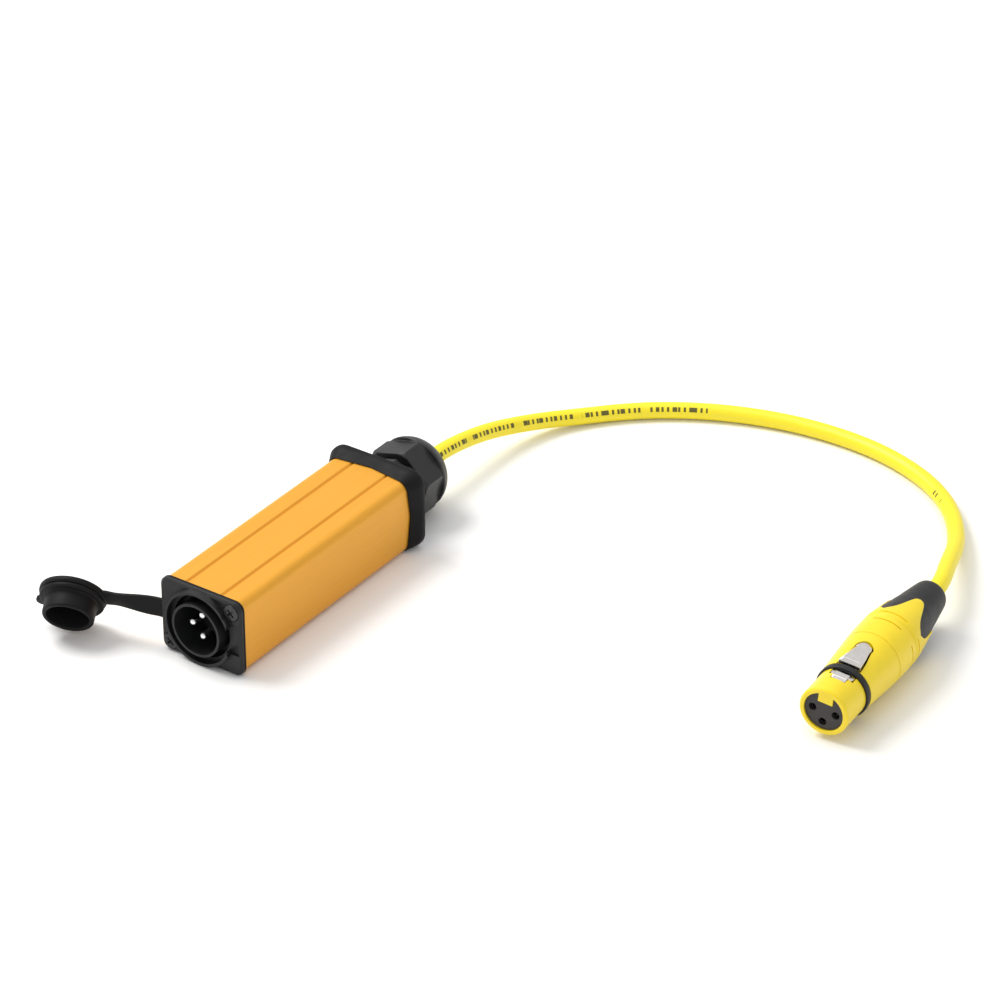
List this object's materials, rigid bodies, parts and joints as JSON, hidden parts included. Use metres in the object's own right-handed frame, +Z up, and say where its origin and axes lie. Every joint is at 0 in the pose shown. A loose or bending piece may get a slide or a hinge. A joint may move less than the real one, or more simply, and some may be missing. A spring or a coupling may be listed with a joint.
{
  "type": "direct injection box",
  "caption": "Inline direct injection box: slim metal tube with a capped male three-pin socket at one end and a short pigtail to a female connector at the other.",
  "frame": {"origin": "on the axis of the male socket, in the front face of its square flange", "axes": "+X to the right across the flange seen from the front, +Y back along the box towards the cable gland, +Z up; the object rests on the plane z = -13 mm"},
  "size_m": [0.2407, 0.245, 0.028],
  "materials": {
    "gold_anodised": "satin anodised",
    "black_rubber": "matt",
    "black_metal": "satin lacquer",
    "black_plastic": "satin",
    "charcoal_plastic": "satin",
    "contact_silver": "bright",
    "black_screw": "satin",
    "board_green": "satin",
    "can_steel": "brushed",
    "core_steel": "laminated",
    "winding": "enamelled wire",
    "capacitor_sleeve": "gloss sleeve",
    "resistor_body": "matt",
    "core_insulation": "satin",
    "yellow_jacket": "satin",
    "yellow_paint": "satin enamel",
    "yellow_plastic": "satin",
    "latch_nickel": "polished nickel"
  },
  "bodies": {
    "box": {"enclosure_tube": "gold_anodised", "front_gasket": "black_rubber", "male_shell": "black_metal", "male_insert": "black_plastic", "male_pins": "contact_silver", "panel_screws": "black_screw", "rear_cap": "black_rubber", "rear_screws": "black_screw", "gland_washer": "black_rubber", "gland_body": "black_plastic", "gland_seal": "black_rubber", "gland_claw": "black_plastic", "gland_nut": "black_plastic", "circuit_board": "board_green", "transformer_can": "can_steel", "transformer_core": "core_steel", "transformer_bobbin": "winding", "capacitors": "capacitor_sleeve", "resistors": "resistor_body", "hookup_wires": "core_insulation", "cable_tail": "yellow_jacket", "cable_tail_cores": "core_insulation"},
    "strap_1": {"strap_root": "black_rubber"},
    "strap_2": {"strap_end": "black_rubber"},
    "cap": {"dust_cap": "black_rubber"},
    "cable_run_1": {"cable_a": "yellow_jacket", "cable_a_cores": "core_insulation"},
    "cable_run_2": {"cable_b": "yellow_jacket", "cable_b_cores": "core_insulation"},
    "cable_run_3": {"cable_c": "yellow_jacket", "cable_c_cores": "core_insulation"},
    "plug": {"cable_d": "yellow_jacket", "cable_d_cores": "core_insulation", "plug_leads": "core_insulation", "plug_housing": "yellow_paint", "coding_ring": "black_plastic", "plug_insert": "charcoal_plastic", "socket_contacts": "contact_silver", "latch_spring": "latch_nickel", "cord_grip": "black_plastic", "boot_bushing": "yellow_plastic", "boot_overmould": "black_rubber"},
    "latch": {"latch_lever": "latch_nickel"}
  },
  "joints": [
    {"name": "strap_fold", "type": "hinge", "parent": "box", "child": "strap_1", "pos_m": [-0.0172, 0.00185, 0], "axis": [0, 0, 1], "range_deg": [-12, 93.5]},
    {"name": "strap_twist", "type": "hinge", "parent": "strap_1", "child": "strap_2", "pos_m": [-0.02545, -0.00074, 0], "axis": [-0.9542, -0.299, 0], "range_deg": [-3.58, 27.55]},
    {"name": "cap_fold", "type": "hinge", "parent": "strap_2", "child": "cap", "pos_m": [-0.03376, -0.00334, 0], "axis": [0.1381, -0.4406, 0.887], "range_deg": [-8.14, 63.05]},
    {"name": "cable_bend_1", "type": "hinge", "parent": "box", "child": "cable_run_1", "pos_m": [0, 0.122, 0], "axis": [0, 0, 1], "range_deg": [-14, 14]},
    {"name": "cable_bend_2", "type": "hinge", "parent": "cable_run_1", "child": "cable_run_2", "pos_m": [0.0229, 0.1933, -0.01015], "axis": [0, 0, 1], "range_deg": [-16, 16]},
    {"name": "cable_bend_3", "type": "hinge", "parent": "cable_run_2", "child": "cable_run_3", "pos_m": [0.0976, 0.2229, -0.01015], "axis": [0, 0, 1], "range_deg": [-16, 16]},
    {"name": "cable_bend_4", "type": "hinge", "parent": "cable_run_3", "child": "plug", "pos_m": [0.1488, 0.2, -0.00985], "axis": [0, 0, 1], "range_deg": [-14, 14]},
    {"name": "latch_press", "type": "hinge", "parent": "plug", "child": "latch", "pos_m": [0.17593, 0.09885, 0.00494], "axis": [0.9914, 0.0738, -0.108], "range_deg": [0, 4], "stiffness_Nm_per_rad": 0.05}
  ],
  "couplings": [
    {"joint": "strap_twist", "follows": "strap_fold", "ratio": 0.29412},
    {"joint": "cap_fold", "follows": "strap_fold", "ratio": 0.6738}
  ]
}
